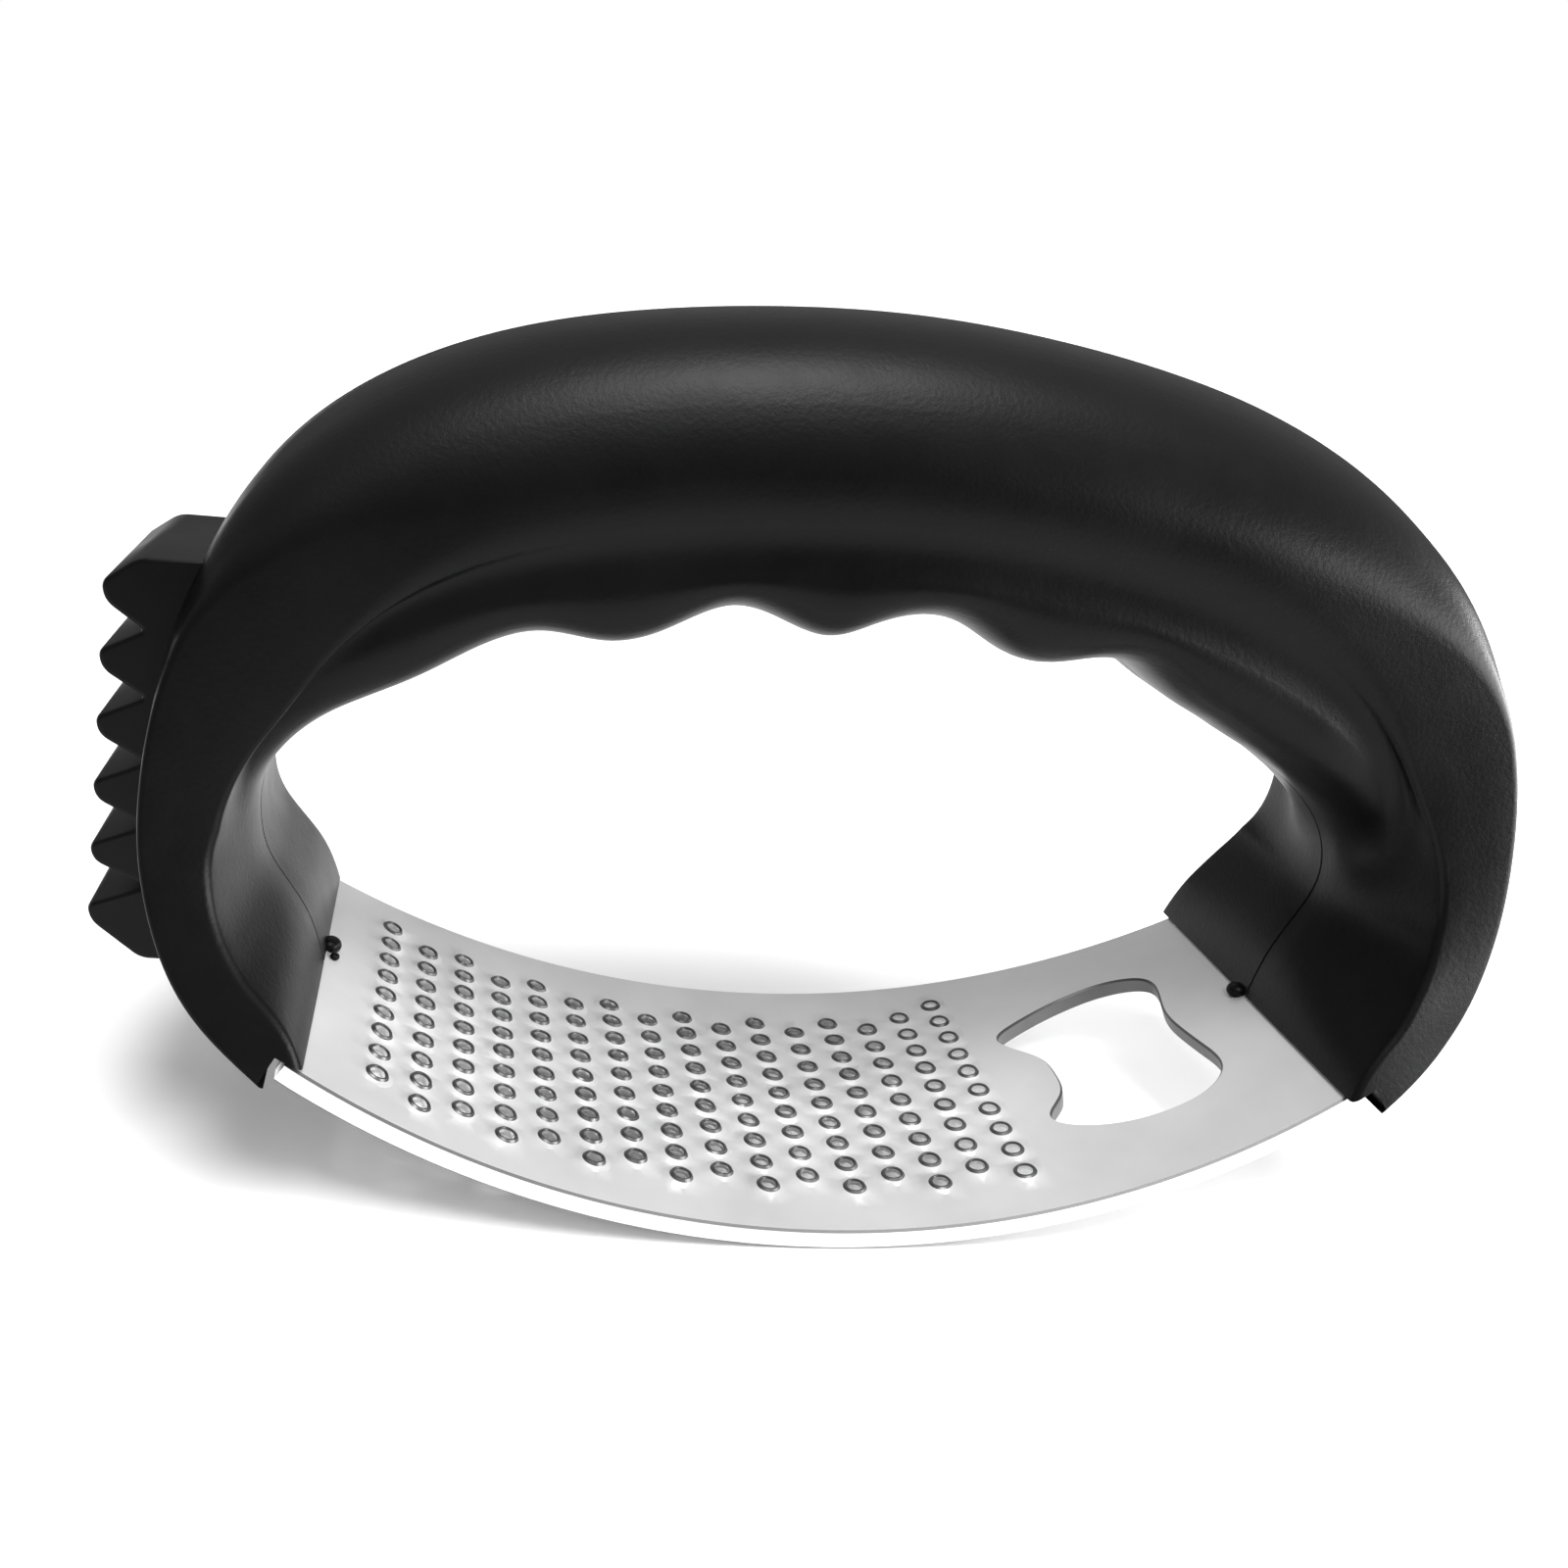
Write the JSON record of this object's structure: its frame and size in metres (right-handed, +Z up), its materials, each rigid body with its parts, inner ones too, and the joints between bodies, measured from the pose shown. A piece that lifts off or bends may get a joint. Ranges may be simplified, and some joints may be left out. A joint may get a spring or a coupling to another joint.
{
  "type": "garlic press",
  "caption": "Rocking garlic press: a curved perforated steel plate with a bottle opener, held by a plastic loop handle with finger grooves and a side comb.",
  "frame": {"origin": "middle of the footprint, at the lowest point of the rocker plate's sole", "axes": "+X along the rocker, from the comb to the bottle opener; +Y to the back of the loop; +Z up, from the plate to the grip"},
  "size_m": [0.1338, 0.0458, 0.0833],
  "materials": {
    "handle_plastic": "black moulded plastic with a fine spark-eroded grain",
    "comb_plastic": "black moulded plastic, slightly smoother than the handle",
    "plate_steel": "satin blasted stainless steel with a bright sheared edge",
    "screw_steel": "plain zinc-plated steel"
  },
  "bodies": {
    "root": {"handle_front_shell": "handle_plastic", "handle_back_shell": "handle_plastic", "scaler_comb": "comb_plastic", "rocker_plate": "plate_steel", "grip_screw_left": "screw_steel", "grip_screw_right": "screw_steel", "leg_screw_left": "screw_steel", "leg_screw_right": "screw_steel"}
  },
  "joints": []
}
